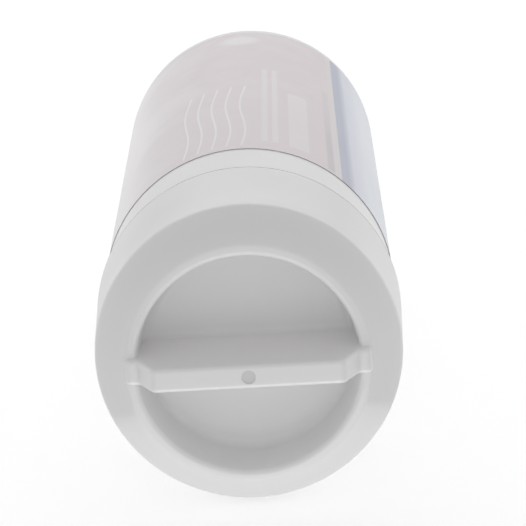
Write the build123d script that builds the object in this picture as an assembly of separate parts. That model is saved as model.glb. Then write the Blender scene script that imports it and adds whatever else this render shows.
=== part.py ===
from build123d import *
import math
import os

# Fridge water filter cartridge, millimetres.
# Y is the cartridge axis. The handle end points to -Y and the neck to +Y.
# The origin is the centre of the shoulder face that stops against the filter head.
# The grip bar lies along X, and the middle of the label faces +Z.

# Housing tube
body_radius = 35.0
wall = 2.6
shoulder_rounding = 8.0
shoulder_thickness = 3.0
body_length = 171.0
seam_gap = 0.2
sleeve_depth = 19.0
rebate_depth = 1.1
weld_fit = 0.05

# End cap
cap_length = 38.7
skirt_stand = 1.1
front_stand = 0.05
skirt_edge_rounding = 0.4
cap_edge_rounding = 2.5
rim_slope_deg = 47.9
rim_run = 7.2
lip_width = 2.45
lip_drop = 0.4
lip_outer_rounding = 1.4
lip_inner_rounding = 1.1
recess_depth = 13.4
recess_draft_deg = 5.0
recess_corner = 2.0
cap_wall = 2.4
pocket_rounding = 0.8
inner_ring_height = 8.0
inner_ring_wall = 2.0
locator_radius = 10.0
locator_height = 2.2

# Grip bar
bar_stand = 8.8
bar_foot_run = 2.9
bar_ramp_run = 3.4
bar_end_stand = 2.0
bar_end_inset = 0.1
bar_end_rounding = 1.6
bar_root_depth = 0.6
bar_thickness = 5.4
bar_draft_deg = 1.2
bar_crown_blend = 2.0
bar_foot_blend = 1.2
bar_edge_rounding = 1.0
bar_root_rounding = 1.5
gate_radius = 1.6
gate_depth = 0.4

# Neck, bayonet lugs, spigot and outlet nozzle
collar_radius = 20.0
collar_height = 8.0
collar_root_rounding = 1.5
neck_wall = 2.5
lug_radius = 24.0
lug_height = 3.4
lug_arc_deg = 64.0
lug_ramp_deg = 4.0
lug_count = 2
stop_arc_deg = 9.0
spigot_radius = 14.8
spigot_length = 9.0
spigot_groove_gap = 1.3
nozzle_radius = 6.0
nozzle_length = 7.5
nozzle_groove_gap = 1.6
nozzle_root_rounding = 0.6
neck_chamfer = 0.6
outlet_radius = 3.5
inlet_count = 6
inlet_radius = 1.3

# O-rings
spigot_cord = 1.3
nozzle_cord = 0.9
groove_play = 0.6
ring_proud = 0.35
ring_ease = 0.03

# Socket inside the neck, and the stem that plugs into it
socket_radius = 6.9
socket_wall = 2.3
socket_length = 24.0
stem_clearance = 0.2
stem_groove_depth = 1.3
stem_tip_gap = 3.0
outlet_step = 1.0
stem_ring_count = 2
stem_ring_pitch = 5.0
stem_first_ring = 3.0
stem_tip_rounding = 0.4
plate_to_socket = 4.0

# Filter block and its two glued caps
flow_gap = 3.8
block_bore_radius = 8.2
wrap_thickness = 0.8
core_radius = 7.5
core_wall = 1.5
core_slot_width = 2.4
core_slot_height = 8.0
core_row_count = 11
core_slot_count = 4
plate_thickness = 2.5
plate_edge_rounding = 1.0
skirt_wall = 1.6
skirt_depth = 8.0
skirt_clearance = 0.2
glue_thickness = 1.2
foot_height = 3.0
foot_wall = 2.0
foot_clearance = 0.3
fin_count = 4
fin_thickness = 1.8
fin_height = 5.0
fin_clearance = 0.3
cavity_rounding = 5.0

# Label
label_thickness = 0.12
label_glue = 0.05
label_start = 21.4
label_end_gap = 3.0
label_seam_deg = 2.0

# Derived places
tube_bore = body_radius - wall
rebate_radius = body_radius - rebate_depth
seam_y = -body_length
tube_end_y = seam_y - sleeve_depth
lip_y = seam_y - cap_length
cap_front_radius = body_radius + front_stand
lip_outer_radius = cap_front_radius - rim_run
recess_floor_y = lip_y + recess_depth
rim_top_y = lip_y + lip_drop
bar_face_y = lip_y - bar_stand
cap_inside_y = recess_floor_y + cap_wall
groove_bottom_y = tube_end_y - seam_gap
collar_top_y = collar_height
spigot_tip_y = collar_top_y + spigot_length
nozzle_tip_y = spigot_tip_y + nozzle_length
socket_top_y = spigot_tip_y - neck_wall - outlet_step
socket_mouth_y = socket_top_y - socket_length
stem_radius = socket_radius - stem_clearance
stem_tip_y = socket_top_y - stem_tip_gap
top_plate_y = socket_mouth_y - plate_to_socket
foot_y = cap_inside_y
bottom_plate_y = foot_y + foot_height + plate_thickness
block_bottom_y = bottom_plate_y + glue_thickness
block_top_y = top_plate_y - plate_thickness - glue_thickness
skirt_radius = tube_bore - flow_gap
skirt_bore = skirt_radius - skirt_wall
wrap_radius = skirt_bore - skirt_clearance
block_radius = wrap_radius - wrap_thickness


def turned(*corners):
    """Solid turned about Y from corners of (radius, y) or (radius, y, rounding)."""
    points = [(corner[0], corner[1]) for corner in corners]
    roundings = [corner[2] if len(corner) > 2 else 0 for corner in corners]
    outline = FilletPolyline(*points, radius=roundings, close=True)
    return revolve(make_face(outline), Axis.Y)


def tube(outer, inner, low_y, high_y):
    """Plain ring between two radii and two places along the axis."""
    return turned((inner, low_y), (outer, low_y), (outer, high_y), (inner, high_y))


def rod(radius, low_y, high_y):
    """Plain round bar along the axis."""
    return turned((0, low_y), (radius, low_y), (radius, high_y), (0, high_y))


def round_y(count, start_deg=0):
    """Places spaced evenly round the cartridge axis."""
    return [Rotation(0, start_deg + step * 360 / count, 0) for step in range(count)]


def groove_width(cord):
    """Width of a groove that holds a ring of this cord radius."""
    return 2 * cord + groove_play


def ring_in_groove(cord, floor_radius, middle_y):
    """O-ring lying on its groove floor, centred in the groove."""
    circle = Pos(floor_radius + ring_ease + cord, middle_y) * Circle(cord)
    return revolve(circle, Axis.Y)


def spigot_floor():
    return spigot_radius + ring_proud - 2 * spigot_cord


def nozzle_floor():
    return nozzle_radius + ring_proud - 2 * nozzle_cord


def spigot_ring_y():
    return collar_top_y + spigot_groove_gap + groove_width(spigot_cord) / 2


def nozzle_ring_y():
    return spigot_tip_y + nozzle_groove_gap + groove_width(nozzle_cord) / 2


def stem_ring_y(number):
    """Middle of one stem ring, counted from the tip of the stem."""
    return stem_tip_y - stem_first_ring - number * stem_ring_pitch


# Housing

def housing_shell():
    """Tube, rounded shoulder, collar, spigot and nozzle in one turned wall."""
    collar_bore = collar_radius - neck_wall
    spigot_bore = spigot_radius - neck_wall
    spigot_wall_y = spigot_tip_y - neck_wall
    ceiling_y = -shoulder_thickness
    socket_outer = socket_radius + socket_wall
    return turned(
        (rebate_radius, tube_end_y),
        (rebate_radius, seam_y + seam_gap),
        (body_radius, seam_y + seam_gap),
        (body_radius, 0, shoulder_rounding),
        (collar_radius, 0, collar_root_rounding),
        (collar_radius, collar_top_y, neck_chamfer),
        (spigot_radius, collar_top_y),
        (spigot_radius, spigot_tip_y, neck_chamfer),
        (nozzle_radius, spigot_tip_y, nozzle_root_rounding),
        (nozzle_radius, nozzle_tip_y, neck_chamfer),
        (outlet_radius, nozzle_tip_y),
        (outlet_radius, socket_top_y),
        (socket_radius, socket_top_y),
        (socket_radius, socket_mouth_y),
        (socket_outer, socket_mouth_y),
        (socket_outer, spigot_wall_y),
        (spigot_bore, spigot_wall_y),
        (spigot_bore, collar_top_y - neck_wall),
        (collar_bore, collar_top_y - neck_wall),
        (collar_bore, ceiling_y),
        (tube_bore, ceiling_y, cavity_rounding),
        (tube_bore, tube_end_y),
    )


def groove_cut(radius, floor_radius, cord, middle_y):
    """Square groove for an O-ring on a round outside wall."""
    half = groove_width(cord) / 2
    return tube(radius + cord, floor_radius, middle_y - half, middle_y + half)


def ring_sector(inner, outer, low_y, high_y, arc_deg):
    """Part of a ring, centred on +X."""
    middle = Pos((inner + outer) / 2, (low_y + high_y) / 2)
    face = middle * Rectangle(outer - inner, high_y - low_y)
    return Rotation(0, arc_deg / 2, 0) * revolve(face, Axis.Y, -arc_deg)


def bayonet_lug():
    """One lug with a ramped underside, and its stop down to the shoulder."""
    root = collar_radius - neck_wall / 2
    lug_top_y = collar_top_y - neck_chamfer
    lug = ring_sector(root, lug_radius, lug_top_y - lug_height, lug_top_y, lug_arc_deg)
    lug = fillet(lug.edges().filter_by(Axis.Y).sort_by(SortBy.DISTANCE)[-2:], neck_chamfer)
    ramp = Pos(0, lug_top_y - lug_height, 0) * Rotation(lug_ramp_deg, 0, 0)
    below = ramp * Pos(0, -lug_height, 0) * Box(2 * body_radius, 2 * lug_height, 2 * body_radius)
    stop = ring_sector(root, lug_radius, -shoulder_thickness / 2, lug_top_y - lug_height / 2, stop_arc_deg)
    return (lug - below) + Rotation(0, (lug_arc_deg - stop_arc_deg) / 2, 0) * stop


def housing():
    """Moulded housing: tube, shoulder and neck."""
    shape = housing_shell()
    shape -= groove_cut(spigot_radius, spigot_floor(), spigot_cord, spigot_ring_y())
    shape -= groove_cut(nozzle_radius, nozzle_floor(), nozzle_cord, nozzle_ring_y())
    lug = bayonet_lug()
    for place in round_y(lug_count):
        shape += place * lug
    passage_middle = (spigot_radius - neck_wall + socket_radius + socket_wall) / 2
    inlet = Pos(passage_middle, spigot_tip_y, 0) * Rotation(90, 0, 0)
    inlet *= Cylinder(inlet_radius, 3 * neck_wall)
    for place in round_y(inlet_count):
        shape -= place * inlet
    return shape


# End cap

def recess_radius(y):
    """Radius of the drafted recess wall at a place along the axis."""
    return lip_outer_radius - lip_width - (y - lip_y) * math.tan(math.radians(recess_draft_deg))


def rim_inside_y(radius):
    """Place where the inside face of the sloping rim passes a radius."""
    slope = math.radians(rim_slope_deg)
    return rim_top_y + (radius - lip_outer_radius) * math.tan(slope) + cap_wall / math.cos(slope)


def pocket_tip():
    """Corner where the recess wall and the rim meet behind the lip."""
    slope = math.tan(math.radians(rim_slope_deg))
    draft = math.tan(math.radians(recess_draft_deg))
    back = recess_radius(lip_y) + cap_wall
    start = rim_inside_y(back)
    y = (start + slope * draft * lip_y) / (1 + slope * draft)
    return back - (y - lip_y) * draft, y


def cap_shell():
    """Skirt, sloping rim, lip and round recess as one turned wall."""
    skirt_bore_radius = rebate_radius + weld_fit
    ring_outer = tube_bore - weld_fit
    ring_inner = ring_outer - inner_ring_wall
    ring_top_y = cap_inside_y + inner_ring_height
    edge_y = rim_top_y + (cap_front_radius - lip_outer_radius) * math.tan(math.radians(rim_slope_deg))
    tip_radius, tip_y = pocket_tip()
    return turned(
        (body_radius + skirt_stand, seam_y, skirt_edge_rounding),
        (cap_front_radius, edge_y, cap_edge_rounding),
        (lip_outer_radius, rim_top_y, lip_outer_rounding),
        (recess_radius(lip_y), lip_y, lip_inner_rounding),
        (recess_radius(recess_floor_y), recess_floor_y, recess_corner),
        (0, recess_floor_y),
        (0, cap_inside_y),
        (recess_radius(recess_floor_y) + cap_wall, cap_inside_y, recess_corner),
        (tip_radius, tip_y, pocket_rounding),
        (ring_inner, rim_inside_y(ring_inner), pocket_rounding),
        (ring_inner, ring_top_y),
        (ring_outer, ring_top_y),
        (ring_outer, groove_bottom_y),
        (skirt_bore_radius, groove_bottom_y),
        (skirt_bore_radius, seam_y),
    )


def bar_root_y():
    """Depth inside the lip where the feet of the bar end."""
    return rim_top_y + bar_root_depth


def bar_side():
    """Side outline of the grip bar: flat crown, two ramps, low feet at the lip."""
    end_x = lip_outer_radius - bar_end_inset
    foot_x = end_x - bar_foot_run
    crown_x = foot_x - bar_ramp_run
    end_y = lip_y - bar_end_stand
    in_wall_x = recess_radius(recess_floor_y) + cap_wall / 2
    half = [
        (in_wall_x, recess_floor_y + cap_wall / 2, 0),
        (in_wall_x, bar_root_y(), 0),
        (end_x, bar_root_y(), 0),
        (end_x, end_y, bar_end_rounding),
        (foot_x, end_y, bar_foot_blend),
        (crown_x, bar_face_y, bar_crown_blend),
    ]
    corners = half + [(-x, y, rounding) for x, y, rounding in reversed(half)]
    outline = FilletPolyline(
        *[(x, y) for x, y, rounding in corners],
        radius=[rounding for x, y, rounding in corners],
        close=True,
    )
    return extrude(make_face(outline), amount=2 * bar_thickness, both=True)


def bar_section():
    """Drafted section of the bar, flared where it meets the recess floor."""
    crown = bar_thickness / 2
    root = crown + (recess_floor_y - bar_face_y) * math.tan(math.radians(bar_draft_deg))
    flare = root + 2 * bar_root_rounding
    half = [
        (recess_floor_y + cap_wall / 2, flare, 0),
        (recess_floor_y, flare, 0),
        (recess_floor_y, root, bar_root_rounding),
        (bar_face_y, crown, 0),
    ]
    corners = half + [(y, -z, rounding) for y, z, rounding in reversed(half)]
    outline = FilletPolyline(
        *[(y, z) for y, z, rounding in corners],
        radius=[rounding for y, z, rounding in corners],
        close=True,
    )
    return extrude(Plane.YZ * make_face(outline), amount=body_radius, both=True)


def grip_bar():
    """Raised bar with its crown, ramp and end edges rounded."""
    bar = bar_side() & bar_section()
    crown = [
        edge for edge in bar.edges()
        if edge.center().Y < rim_top_y and abs(edge.center().Z) > bar_thickness / 4
    ]
    return fillet(crown, bar_edge_rounding)


def end_cap():
    """Moulded cap: skirt, recess and the grip bar across it."""
    cap = cap_shell() + grip_bar()
    gate = Pos(0, bar_face_y, 0) * Rotation(90, 0, 0) * Cylinder(gate_radius, 2 * gate_depth)
    locator = tube(locator_radius, locator_radius - cap_wall, cap_inside_y - cap_wall / 2,
                   cap_inside_y + locator_height)
    return cap + locator - gate


# Label

def label_film():
    """Printed film wrapped round the tube, its two edges nearly meeting underneath."""
    low_y = seam_y + label_start
    high_y = -shoulder_rounding - label_end_gap
    middle = Pos(body_radius + label_glue + label_thickness / 2, (low_y + high_y) / 2)
    face = middle * Rectangle(label_thickness, high_y - low_y)
    wrap = revolve(face, Axis.Y, 360 - label_seam_deg)
    return Rotation(0, 90 + label_seam_deg / 2, 0) * wrap


# Filter block, caps and core

def block_top_cap():
    """Glued cap with the hollow stem that carries the block's outlet."""
    plate_low_y = top_plate_y - plate_thickness
    stem = turned(
        (outlet_radius, stem_tip_y, stem_tip_rounding),
        (stem_radius, stem_tip_y, neck_chamfer),
        (stem_radius, top_plate_y, neck_chamfer),
        (skirt_radius, top_plate_y, plate_edge_rounding),
        (skirt_radius, plate_low_y - skirt_depth),
        (skirt_bore, plate_low_y - skirt_depth),
        (skirt_bore, plate_low_y),
        (outlet_radius, plate_low_y),
    )
    floor = stem_radius - stem_groove_depth
    for number in range(stem_ring_count):
        stem -= groove_cut(stem_radius, floor, stem_cord(), stem_ring_y(number))
    return stem


def stem_cord():
    """Cord radius that fills the space from the groove floor to the socket wall."""
    return (stem_clearance + stem_groove_depth) / 2 - ring_ease


def block_bottom_cap():
    """Closed cap with a foot ring and fins that centre the block in the tube."""
    plate_low_y = foot_y + foot_height
    cap = turned(
        (0, plate_low_y),
        (skirt_radius, plate_low_y, plate_edge_rounding),
        (skirt_radius, bottom_plate_y + skirt_depth),
        (skirt_bore, bottom_plate_y + skirt_depth),
        (skirt_bore, bottom_plate_y),
        (0, bottom_plate_y),
    )
    foot_inner = locator_radius + foot_clearance
    cap += tube(foot_inner + foot_wall, foot_inner, foot_y, plate_low_y + plate_thickness / 2)
    fin_reach = tube_bore - fin_clearance - skirt_bore
    fin_x = skirt_bore + skirt_wall / 2
    fin_length = fin_reach - skirt_wall / 2
    fin_top_y = bottom_plate_y + skirt_depth
    fin = Pos(fin_x + fin_length / 2, fin_top_y - fin_height / 2, 0)
    fin *= Box(fin_length, fin_height, fin_thickness)
    for place in round_y(fin_count, 180 / fin_count):
        cap += place * fin
    return cap


def core_tube():
    """Slotted tube that lines the bore of the block and carries water to the stem."""
    core = tube(core_radius, core_radius - core_wall, block_bottom_y, block_top_y)
    pitch = (block_top_y - block_bottom_y) / core_row_count
    slot = Pos(core_radius, 0, 0) * Box(4 * core_wall, core_slot_height, core_slot_width)
    half_step_deg = 180 / core_slot_count
    for row in range(core_row_count):
        middle_y = block_bottom_y + pitch * row + pitch / 2
        for place in round_y(core_slot_count, half_step_deg * (row % 2)):
            core -= Pos(0, middle_y, 0) * place * slot
    return core


def save(name, shape):
    """Write one named sub-part."""
    shape.label = name
    export_step(shape, f"parts/{name}.step")


def main():
    os.makedirs("parts", exist_ok=True)
    save("housing", housing())
    save("end_cap", end_cap())
    save("label_film", label_film())
    save("spigot_oring", ring_in_groove(spigot_cord, spigot_floor(), spigot_ring_y()))
    save("nozzle_oring", ring_in_groove(nozzle_cord, nozzle_floor(), nozzle_ring_y()))
    stem_floor = stem_radius - stem_groove_depth
    for number in range(stem_ring_count):
        save(f"stem_oring_{number + 1}", ring_in_groove(stem_cord(), stem_floor, stem_ring_y(number)))
    save("block_top_cap", block_top_cap())
    save("block_bottom_cap", block_bottom_cap())
    save("top_glue_ring", tube(block_radius, core_radius - core_wall, block_top_y, block_top_y + glue_thickness))
    save("bottom_glue_disc", rod(block_radius, bottom_plate_y, block_bottom_y))
    save("carbon_block", tube(block_radius, block_bore_radius, block_bottom_y, block_top_y))
    save("prefilter_wrap", tube(wrap_radius, block_radius, block_bottom_y, block_top_y))
    save("core_felt", tube(block_bore_radius, core_radius, block_bottom_y, block_top_y))
    save("core_tube", core_tube())


main()
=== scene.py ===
import math

import bpy
from mathutils import Matrix, Vector


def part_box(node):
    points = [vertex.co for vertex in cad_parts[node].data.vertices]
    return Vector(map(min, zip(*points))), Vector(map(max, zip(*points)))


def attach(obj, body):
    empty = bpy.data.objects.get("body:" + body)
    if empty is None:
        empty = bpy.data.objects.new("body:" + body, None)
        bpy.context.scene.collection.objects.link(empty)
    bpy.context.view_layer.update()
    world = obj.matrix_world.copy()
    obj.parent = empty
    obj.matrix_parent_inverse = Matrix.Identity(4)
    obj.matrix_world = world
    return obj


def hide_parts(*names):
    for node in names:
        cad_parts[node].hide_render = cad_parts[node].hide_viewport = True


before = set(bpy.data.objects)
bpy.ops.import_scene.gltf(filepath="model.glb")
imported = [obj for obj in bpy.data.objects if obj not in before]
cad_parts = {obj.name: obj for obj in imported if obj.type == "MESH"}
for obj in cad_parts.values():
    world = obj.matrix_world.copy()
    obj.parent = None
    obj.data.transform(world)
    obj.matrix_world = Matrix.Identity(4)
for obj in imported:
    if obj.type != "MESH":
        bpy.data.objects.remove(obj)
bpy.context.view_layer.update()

MM = 0.001

# Places on the cartridge, worked out from the frame
cap_low, cap_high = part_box("end_cap")
label_low, label_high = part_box("label_film")
label_start_y = label_low[1]
seam_y = cap_high[1]
bar_face_y = cap_low[1]
floor_z = cap_low[2]
floor_clearance = 0.2 * MM
floor_width = 12.0

# Copies of the solids' meshes: facets closer than this are joined, edges sharper than this stay crisp
merge_distance = 0.002 * MM
crease_deg = 35.0

# Marks on the cap: distances before the seam between which the dark line of painted shade fades in and out,
# and the round gate mark on the bar, down to its depth behind the bar's face
seam_shade_start = (0.80 * MM, 0.58 * MM)
seam_shade_end = (0.32 * MM, 0.20 * MM)
seam_shade_color = (0.12, 0.12, 0.12)
gate_mark_radius = 1.7 * MM
gate_mark_softness = 0.25 * MM
gate_mark_depth = (0.5 * MM, 0.8 * MM)
gate_mark_color = (0.73, 0.73, 0.74)

# Light, in watts and metres: direction from the cartridge, distance, size, power
world_light = 0.505
lamp_target = (0, -0.16, 0)
floor_tone = (0.86, 0.86, 0.86)
floor_roughness = 0.9
floor_glow = 0.45
lamps = {
    "floor_bounce": ((0.0, -0.64, -0.77), 1.5, 1.6, 9.8),
    "front_lamp": ((0.0, -1.0, -0.15), 1.8, 1.0, 2.9),
    "back_lamp": ((0.0, 0.8, 0.6), 1.5, 1.3, 3.5),
    "left_lamp": ((-1.0, 0.8, 0.0), 1.5, 1.3, 3.6),
    "right_lamp": ((1.0, 0.8, 0.0), 1.5, 1.3, 3.6),
}

# Printed fields of the label: degrees to the right of its middle, millimetres along the cartridge
wave_field = (-27.0, 2.0, -145.0, -82.0)
wave_pitch_deg = 6.0
wave_swing_deg = 1.3
wave_length_mm = 58.0
rule_fields = ((8.2, 10.0, -141.0, -60.0), (12.6, 14.4, -141.0, -60.0), (19.5, 27.5, -142.0, -84.0))
thin_rule = (36.6, 38.8, -147.0, -62.0)
oval_field = (-12.0, 7.0, -28.0, -15.0)
band_start_deg = 43.2
band_dark_deg = 5.6
band_light_deg = 20.0
band_fade_out = (88.0, 104.0)
# Painted shade: a thin dark line along the film's front edge, in millimetres along the cartridge
film_edge_shade = (label_start_y / MM + 0.05, label_start_y / MM + 0.15)

# Colours of the label
label_tones = {
    "panel_dark": (0.778, 0.700, 0.730),
    "panel_light": (0.81, 0.738, 0.762),
    "panel_near_cap": (0.70, 0.655, 0.67),
    "panel_blush": (0.82, 0.745, 0.765),
    "pale_dark": (0.895, 0.862, 0.873),
    "pale_light": (0.93, 0.92, 0.925),
    "print_pale": (0.90, 0.875, 0.882),
    "thin_rule": (0.62, 0.60, 0.63),
    "before_band": (0.80, 0.77, 0.80),
    "band_dark": (0.50, 0.52, 0.63),
    "band_middle": (0.65, 0.67, 0.79),
    "band_light": (0.81, 0.84, 0.90),
    "band_streak": (0.84, 0.87, 0.93),
    # Painted shade along the film's front edge, over the panel and over the band
    "film_edge_shade_panel": (0.54, 0.50, 0.49),
    "film_edge_shade_band": (0.34, 0.33, 0.36),
}

# Moulded plastics: colour, roughness, grain scale
plastics = {
    "housing_plastic": ((0.955, 0.95, 0.95), 0.42, 900.0),
    "cap_plastic": ((0.888, 0.880, 0.885), 0.38, 1100.0),
    "inner_plastic": ((0.78, 0.78, 0.75), 0.5, 700.0),
}
plastic_sheen = 0.45
plastic_depth_weight = 0.25
plastic_depth = (0.005, 0.0046, 0.0042)

# Grained materials: dark and light colour, grain scale, roughness, bump height in metres
grained = {
    "pressed_carbon": ((0.008, 0.008, 0.009), (0.045, 0.045, 0.047), 900.0, 0.8, 0.0002),
    "white_felt": ((0.62, 0.62, 0.6), (0.8, 0.8, 0.78), 1400.0, 0.88, 0.0002),
    "hot_melt_glue": ((0.6, 0.52, 0.36), (0.72, 0.64, 0.48), 180.0, 0.35, 0.0001),
}

# Camera: fitted to the outlines of the cap and the tube
camera_distance = 615.6 * MM
camera_height = 199.9 * MM
camera_edge_y = -200.4 * MM
camera_yaw, camera_pitch, camera_roll = 0.0047, 0.2826, 0.0154
camera_focal = 194.74
camera_sensor = 36.0
bar_turn_deg = 4.06


# Small helpers

def deselect_all():
    """Nothing selected, so that an operator acts on the new piece alone."""
    if bpy.context.object and bpy.context.object.mode == "EDIT":
        bpy.ops.object.mode_set(mode="OBJECT")
    bpy.ops.object.select_all(action="DESELECT")


def make_active(piece):
    """Only this piece selected and active."""
    deselect_all()
    piece.select_set(True)
    bpy.context.view_layer.objects.active = piece


def set_material(piece, material):
    """One material all over the piece."""
    piece.data.materials.clear()
    piece.data.materials.append(material)


# Material building

def new_material(name):
    """Empty node material with its Principled shader."""
    material = bpy.data.materials.new(name)
    material.use_nodes = True
    nodes = material.node_tree.nodes
    return material, nodes, material.node_tree.links, nodes["Principled BSDF"]


def object_coordinates(nodes, links, scale=(1, 1, 1)):
    """Object coordinates through a Mapping node."""
    place = nodes.new("ShaderNodeTexCoord")
    mapping = nodes.new("ShaderNodeMapping")
    mapping.inputs["Scale"].default_value = scale
    links.new(place.outputs["Object"], mapping.inputs["Vector"])
    return mapping.outputs["Vector"]


def noise(nodes, links, vector, scale, detail=4.0, roughness=0.5):
    """Noise texture read in object coordinates."""
    node = nodes.new("ShaderNodeTexNoise")
    node.inputs["Scale"].default_value = scale
    node.inputs["Detail"].default_value = detail
    node.inputs["Roughness"].default_value = roughness
    links.new(vector, node.inputs["Vector"])
    return node.outputs["Fac"]


def ramp(nodes, links, value, low, high, low_at=0.3, high_at=0.7):
    """Value mapped to a range between two stops."""
    node = nodes.new("ShaderNodeMapRange")
    node.inputs["From Min"].default_value = low_at
    node.inputs["From Max"].default_value = high_at
    node.inputs["To Min"].default_value = low
    node.inputs["To Max"].default_value = high
    links.new(value, node.inputs["Value"])
    return node.outputs["Result"]


def mix_colors(nodes, links, factor, first, second):
    """Mix of two colours, each a plain colour or a socket."""
    node = nodes.new("ShaderNodeMix")
    node.data_type = "RGBA"
    for socket, value in ((node.inputs[0], factor), (node.inputs[6], first), (node.inputs[7], second)):
        if isinstance(value, bpy.types.NodeSocket):
            links.new(value, socket)
        elif isinstance(value, (int, float)):
            socket.default_value = value
        else:
            socket.default_value = (*value, 1.0)
    return node.outputs[2]


def bump(nodes, links, height, strength, distance):
    """Bump from a height socket, in metres."""
    node = nodes.new("ShaderNodeBump")
    node.inputs["Strength"].default_value = strength
    node.inputs["Distance"].default_value = distance
    links.new(height, node.inputs["Height"])
    return node.outputs["Normal"]


def math_node(nodes, links, operation, first, second=0.0, third=0.0):
    """One arithmetic step on sockets or numbers."""
    node = nodes.new("ShaderNodeMath")
    node.operation = operation
    for index, value in enumerate((first, second, third)):
        if isinstance(value, bpy.types.NodeSocket):
            links.new(value, node.inputs[index])
        else:
            node.inputs[index].default_value = value
    return node.outputs[0]


# Materials of the cartridge

def product(nodes, links, first, second):
    """Product of two sockets or numbers."""
    return math_node(nodes, links, "MULTIPLY", first, second)


def squares_sum(nodes, links, first, second):
    """Sum of the squares of two sockets."""
    return math_node(nodes, links, "MULTIPLY_ADD", first, first, product(nodes, links, second, second))


def seam_shade_and_gate_mark(nodes, links, vector, color):
    """Colour with a fine dark line of painted shade where the cap meets the tube and a darker gate mark on
    the bar.
    """
    split = nodes.new("ShaderNodeSeparateXYZ")
    links.new(vector, split.inputs["Vector"])
    across, along, upward = split.outputs
    # Painted shade: a dark line along the cap's edge just before the seam, where the cap meets the tube
    shade_start = ramp(nodes, links, along, 0.0, 1.0, seam_y - seam_shade_start[0], seam_y - seam_shade_start[1])
    shade_end = ramp(nodes, links, along, 1.0, 0.0, seam_y - seam_shade_end[0], seam_y - seam_shade_end[1])
    color = mix_colors(nodes, links, product(nodes, links, shade_start, shade_end), color, seam_shade_color)
    reach = math_node(nodes, links, "SQRT", squares_sum(nodes, links, across, upward))
    disc = ramp(nodes, links, reach, 1.0, 0.0, gate_mark_radius - gate_mark_softness, gate_mark_radius)
    deep_from, deep_to = gate_mark_depth
    front = ramp(nodes, links, along, 1.0, 0.0, bar_face_y + deep_from, bar_face_y + deep_to)
    return mix_colors(nodes, links, product(nodes, links, disc, front), color, gate_mark_color)


def satin_plastic(name, with_seam_shade_and_gate=False):
    """White moulded polypropylene: soft satin skin, fine grain and faint flow clouding."""
    color, roughness, grain = plastics[name]
    material, nodes, links, shader = new_material(name)
    place = object_coordinates(nodes, links)
    clouds = noise(nodes, links, place, scale=45.0)
    grain_height = noise(nodes, links, place, scale=grain, detail=2.0)
    darker = tuple(channel * 0.975 for channel in color)
    clouded = mix_colors(nodes, links, clouds, darker, color)
    # Marks: the painted shade line before the seam and the gate mark on the bar
    if with_seam_shade_and_gate:
        clouded = seam_shade_and_gate_mark(nodes, links, place, clouded)
    links.new(clouded, shader.inputs["Base Color"])
    links.new(ramp(nodes, links, clouds, roughness - 0.04, roughness + 0.05), shader.inputs["Roughness"])
    links.new(bump(nodes, links, grain_height, strength=0.25, distance=0.00002), shader.inputs["Normal"])
    shader.inputs["Specular IOR Level"].default_value = plastic_sheen
    shader.inputs["Subsurface Weight"].default_value = plastic_depth_weight
    shader.inputs["Subsurface Radius"].default_value = plastic_depth
    shader.inputs["Subsurface Scale"].default_value = 1.0
    return material


def rubber():
    """Black O-ring rubber with a thin greasy sheen and faint moulding grain."""
    material, nodes, links, shader = new_material("seal_rubber")
    place = object_coordinates(nodes, links)
    grain_height = noise(nodes, links, place, scale=1500.0)
    smears = noise(nodes, links, place, scale=220.0)
    color = mix_colors(nodes, links, smears, (0.012, 0.012, 0.013), (0.03, 0.03, 0.032))
    links.new(color, shader.inputs["Base Color"])
    links.new(ramp(nodes, links, smears, 0.28, 0.5), shader.inputs["Roughness"])
    links.new(bump(nodes, links, grain_height, strength=0.3, distance=0.00003), shader.inputs["Normal"])
    return material


def grainy(name):
    """Dull grained material: pressed carbon, felt or set glue."""
    dark, light, scale, roughness, height = grained[name]
    material, nodes, links, shader = new_material(name)
    place = object_coordinates(nodes, links)
    grain_height = noise(nodes, links, place, scale, detail=6.0, roughness=0.65)
    links.new(mix_colors(nodes, links, grain_height, dark, light), shader.inputs["Base Color"])
    roughest = min(1.0, roughness + 0.1)
    links.new(ramp(nodes, links, grain_height, roughness, roughest), shader.inputs["Roughness"])
    links.new(bump(nodes, links, grain_height, strength=0.6, distance=height), shader.inputs["Normal"])
    return material


def field_mask(nodes, links, angle, along, field, softness=0.5):
    """One inside a field of the label and zero outside, with soft edges."""
    start_deg, end_deg, start_mm, end_mm = field
    inside = ramp(nodes, links, angle, 0.0, 1.0, start_deg - softness, start_deg)
    for value, low, high, low_at, high_at in (
        (angle, 1.0, 0.0, end_deg, end_deg + softness),
        (along, 0.0, 1.0, start_mm - softness, start_mm),
        (along, 1.0, 0.0, end_mm, end_mm + softness),
    ):
        edge = ramp(nodes, links, value, low, high, low_at, high_at)
        inside = product(nodes, links, inside, edge)
    return inside


def wave_lines(nodes, links, angle, along):
    """Thin pale wavy lines that run along the cartridge."""
    swing = product(nodes, links, along, 2 * math.pi / wave_length_mm)
    swing = math_node(nodes, links, "SINE", swing)
    turned = math_node(nodes, links, "MULTIPLY_ADD", swing, wave_swing_deg, angle)
    share = math_node(nodes, links, "PINGPONG", turned, wave_pitch_deg / 2)
    line = ramp(nodes, links, share, 1.0, 0.0, 0.3, 0.55)
    inside = field_mask(nodes, links, angle, along, wave_field, softness=2.0)
    return product(nodes, links, line, inside)


def oval_mask(nodes, links, angle, along):
    """Soft oval field near the far end of the label."""
    start_deg, end_deg, start_mm, end_mm = oval_field
    across = math_node(nodes, links, "SUBTRACT", angle, (start_deg + end_deg) / 2)
    across = math_node(nodes, links, "DIVIDE", across, (end_deg - start_deg) / 2)
    length = math_node(nodes, links, "SUBTRACT", along, (start_mm + end_mm) / 2)
    length = math_node(nodes, links, "DIVIDE", length, (end_mm - start_mm) / 2)
    return ramp(nodes, links, squares_sum(nodes, links, across, length), 1.0, 0.0, 0.25, 1.2)


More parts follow.
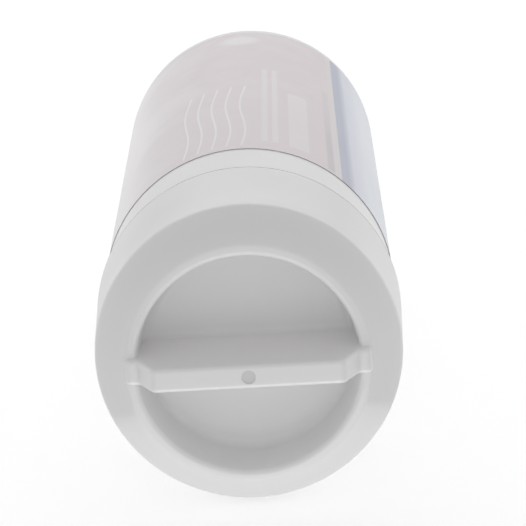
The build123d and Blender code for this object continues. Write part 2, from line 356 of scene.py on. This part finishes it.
def label_ground(nodes, links, place, angle, along, clouds):
    """Pink grey panel, darker near the cap, and the paler left side and back."""
    fleck = noise(nodes, links, place, scale=130.0, detail=5.0)
    flecked = ramp(nodes, links, fleck, 0.0, 1.0)
    panel = mix_colors(nodes, links, flecked, label_tones["panel_dark"], label_tones["panel_light"])
    # Panel darker towards the cap end of the label
    toward_cap = ramp(nodes, links, along, 0.4, 0.0, -150.0, -80.0)
    panel = mix_colors(nodes, links, toward_cap, panel, label_tones["panel_near_cap"])
    blush = ramp(nodes, links, clouds, 0.0, 0.8, 0.45, 0.65)
    panel = mix_colors(nodes, links, blush, panel, label_tones["panel_blush"])
    clouded = ramp(nodes, links, clouds, 0.0, 1.0)
    pale = mix_colors(nodes, links, clouded, label_tones["pale_dark"], label_tones["pale_light"])
    drift = math_node(nodes, links, "MULTIPLY_ADD", clouds, 70.0, angle)
    pale_side = ramp(nodes, links, drift, 1.0, 0.0, -26.0, 12.0)
    return mix_colors(nodes, links, pale_side, panel, pale), pale


def label_fields(nodes, links, angle, along, color):
    """Generic printed fields: wavy lines, plain rules, a block and an oval."""
    print_pale = label_tones["print_pale"]
    color = mix_colors(nodes, links, wave_lines(nodes, links, angle, along), color, print_pale)
    for field in rule_fields:
        inside = field_mask(nodes, links, angle, along, field)
        color = mix_colors(nodes, links, product(nodes, links, inside, 0.5), color, print_pale)
    inside = product(nodes, links, oval_mask(nodes, links, angle, along), 0.8)
    color = mix_colors(nodes, links, inside, color, print_pale)
    strength = ramp(nodes, links, along, 0.8, 0.3, -125.0, -85.0)
    inside = field_mask(nodes, links, angle, along, thin_rule, softness=1.0)
    inside = product(nodes, links, inside, strength)
    return mix_colors(nodes, links, inside, color, label_tones["thin_rule"])


def label_band(nodes, links, angle, clouds):
    """Blue violet band: a dark strip, then a light streaked field."""
    dark_end = band_start_deg + band_dark_deg
    wander = math_node(nodes, links, "MULTIPLY_ADD", clouds, 14.0, angle)
    lighter = ramp(nodes, links, wander, 0.0, 1.0, dark_end, dark_end + band_light_deg)
    light = mix_colors(nodes, links, lighter, label_tones["band_middle"], label_tones["band_light"])
    stretched = object_coordinates(nodes, links, scale=(1, 0.2, 1))
    streaks = noise(nodes, links, stretched, scale=160.0, detail=3.0)
    streaks = ramp(nodes, links, streaks, 0.0, 0.5, 0.5, 0.7)
    light = mix_colors(nodes, links, streaks, light, label_tones["band_streak"])
    past_dark = ramp(nodes, links, angle, 0.0, 1.0, dark_end - 2.0, dark_end + 2.0)
    return mix_colors(nodes, links, past_dark, label_tones["band_dark"], light)


def label_print():
    """Printed film: pink grey panel, whiter on the left, with a blue violet band on the right."""
    material, nodes, links, shader = new_material("label_film")
    place = object_coordinates(nodes, links)
    split = nodes.new("ShaderNodeSeparateXYZ")
    links.new(place, split.inputs["Vector"])
    angle = math_node(nodes, links, "ARCTAN2", split.outputs[0], split.outputs[2])
    angle = product(nodes, links, angle, 180 / math.pi)
    along = product(nodes, links, split.outputs[1], 1000.0)
    clouds = noise(nodes, links, place, scale=24.0, detail=5.0)

    color, pale = label_ground(nodes, links, place, angle, along, clouds)
    color = label_fields(nodes, links, angle, along, color)
    before_band = ramp(nodes, links, angle, 0.0, 0.6, band_start_deg - 3.5, band_start_deg - 2.5)
    color = mix_colors(nodes, links, before_band, color, label_tones["before_band"])
    in_band = ramp(nodes, links, angle, 0.0, 1.0, band_start_deg - 0.5, band_start_deg)
    color = mix_colors(nodes, links, in_band, color, label_band(nodes, links, angle, clouds))
    past_band = ramp(nodes, links, angle, 0.0, 1.0, *band_fade_out)
    color = mix_colors(nodes, links, past_band, color, pale)
    # Painted shade: a thin dark line along the film's front edge, standing in for the shadow under the edge
    edge = ramp(nodes, links, along, 1.0, 0.0, *film_edge_shade)
    edge_shade_tones = label_tones["film_edge_shade_panel"], label_tones["film_edge_shade_band"]
    edge_shade_color = mix_colors(nodes, links, in_band, *edge_shade_tones)
    color = mix_colors(nodes, links, edge, color, edge_shade_color)

    links.new(color, shader.inputs["Base Color"])
    links.new(ramp(nodes, links, clouds, 0.36, 0.46), shader.inputs["Roughness"])
    ripple = noise(nodes, links, place, scale=90.0, detail=2.0)
    links.new(bump(nodes, links, ripple, strength=0.2, distance=0.00004), shader.inputs["Normal"])
    return material


# Pieces

def merged_copy(node):
    """Copy of a rigid node with its facets joined, so that its roundings shade smoothly."""
    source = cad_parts[node]
    piece = source.copy()
    piece.data = source.data.copy()
    piece.name = node + "_skin"
    for key in list(piece.keys()):
        if key.startswith("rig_"):
            del piece[key]
    bpy.context.scene.collection.objects.link(piece)
    make_active(piece)
    bpy.ops.object.mode_set(mode="EDIT")
    bpy.ops.mesh.select_mode(type="EDGE")
    bpy.ops.mesh.select_all(action="SELECT")
    bpy.ops.mesh.remove_doubles(threshold=merge_distance)
    bpy.ops.mesh.customdata_custom_splitnormals_clear()
    bpy.ops.mesh.mark_sharp(clear=True)
    bpy.ops.mesh.select_all(action="DESELECT")
    bpy.ops.mesh.edges_select_sharp(sharpness=math.radians(crease_deg))
    bpy.ops.mesh.mark_sharp()
    bpy.ops.object.mode_set(mode="OBJECT")
    bpy.ops.object.shade_smooth()
    weighted = piece.modifiers.new("even_normals", "WEIGHTED_NORMAL")
    weighted.keep_sharp = True
    bpy.ops.object.modifier_apply(modifier=weighted.name)
    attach(piece, "root")
    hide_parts(node)
    return piece


def dress_nodes():
    """A finish on each rigid node."""
    inner_plastic = satin_plastic("inner_plastic")
    seal = rubber()
    felt = grainy("white_felt")
    glue = grainy("hot_melt_glue")
    smooth = {
        "housing": ("housing_plastic", satin_plastic("housing_plastic")),
        "end_cap": ("cap_plastic", satin_plastic("cap_plastic", with_seam_shade_and_gate=True)),
        "label_film": ("label_film", label_print()),
        "spigot_oring": ("seal_rubber", seal),
        "nozzle_oring": ("seal_rubber", seal),
    }
    for node, (slot_name, material) in smooth.items():
        piece = merged_copy(node)
        set_material(piece, material)
    inner = {
        "stem_oring_1": seal,
        "stem_oring_2": seal,
        "block_top_cap": inner_plastic,
        "block_bottom_cap": inner_plastic,
        "core_tube": inner_plastic,
        "carbon_block": grainy("pressed_carbon"),
        "prefilter_wrap": felt,
        "core_felt": felt,
        "top_glue_ring": glue,
        "bottom_glue_disc": glue,
    }
    for node, material in inner.items():
        set_material(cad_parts[node], material)


# Stage, light and camera

def seen_directly(nodes, links, path):
    """One for rays from the camera and for glossy reflections."""
    camera_ray, glossy_ray = path.outputs["Is Camera Ray"], path.outputs["Is Glossy Ray"]
    return math_node(nodes, links, "MAXIMUM", camera_ray, glossy_ray)


def pale_floor():
    """White floor that stays white to the camera and keeps the cartridge's soft shadow."""
    material, nodes, links, shader = new_material("pale_floor")
    shader.inputs["Base Color"].default_value = (*floor_tone, 1.0)
    shader.inputs["Roughness"].default_value = floor_roughness
    path = nodes.new("ShaderNodeLightPath")
    seen = seen_directly(nodes, links, path)
    glow = product(nodes, links, seen, floor_glow)
    shader.inputs["Emission Color"].default_value = (1.0, 1.0, 1.0, 1.0)
    links.new(glow, shader.inputs["Emission Strength"])
    deselect_all()
    bpy.ops.mesh.primitive_plane_add(size=floor_width, location=(0, 0, floor_z - floor_clearance))
    plane = bpy.context.object
    plane.name = "floor"
    set_material(plane, material)
    plane.visible_shadow = False


def soft_lamp(name, direction, distance, size, power):
    """Square soft lamp that faces the cartridge from a direction."""
    offset = Vector(direction).normalized() * distance
    data = bpy.data.lights.new(name, "AREA")
    data.shape = "SQUARE"
    data.size = size
    data.energy = power
    lamp = bpy.data.objects.new(name, data)
    bpy.context.scene.collection.objects.link(lamp)
    lamp.location = Vector(lamp_target) + offset
    lamp.rotation_euler = offset.to_track_quat("Z", "Y").to_euler()


def studio_light():
    """Soft lamps round the cartridge and an even pale world."""
    for name, (direction, distance, size, power) in lamps.items():
        soft_lamp(name, direction, distance, size, power)
    world = bpy.data.worlds.new("pale_world")
    bpy.context.scene.world = world
    world.use_nodes = True
    nodes, links = world.node_tree.nodes, world.node_tree.links
    background = nodes["Background"]
    background.inputs["Color"].default_value = (1.0, 1.0, 1.0, 1.0)
    path = nodes.new("ShaderNodeLightPath")
    seen = seen_directly(nodes, links, path)
    seen = math_node(nodes, links, "MAXIMUM", seen, path.outputs["Is Transmission Ray"])
    strength = math_node(nodes, links, "MULTIPLY_ADD", seen, 1.0 - world_light, world_light)
    links.new(strength, background.inputs["Strength"])


def photo_camera():
    """Camera at the photograph's viewing angle, turned about the cartridge axis with the bar."""
    yaw, pitch, roll = camera_yaw, camera_pitch, camera_roll
    ahead = Vector((math.sin(yaw) * math.cos(pitch), math.cos(yaw) * math.cos(pitch), -math.sin(pitch)))
    level = Vector((math.cos(yaw), -math.sin(yaw), 0))
    above = level.cross(ahead)
    right = math.cos(roll) * level + math.sin(roll) * above
    up = math.cos(roll) * above - math.sin(roll) * level
    turn = Matrix.Rotation(math.radians(bar_turn_deg), 3, "Y")
    right, up, ahead = turn @ right, turn @ up, turn @ ahead
    place = turn @ Vector((0, 0, camera_height)) + Vector((0, camera_edge_y - camera_distance, 0))
    data = bpy.data.cameras.new("photo_camera")
    data.lens = camera_focal
    data.sensor_width = camera_sensor
    data.clip_start = 0.01
    camera = bpy.data.objects.new("photo_camera", data)
    bpy.context.scene.collection.objects.link(camera)
    basis = Matrix((right, up, -ahead)).transposed().to_4x4()
    camera.matrix_world = Matrix.Translation(place) @ basis
    bpy.context.scene.camera = camera


photo_camera()
dress_nodes()
pale_floor()
studio_light()
bpy.context.scene.view_settings.view_transform = "Standard"
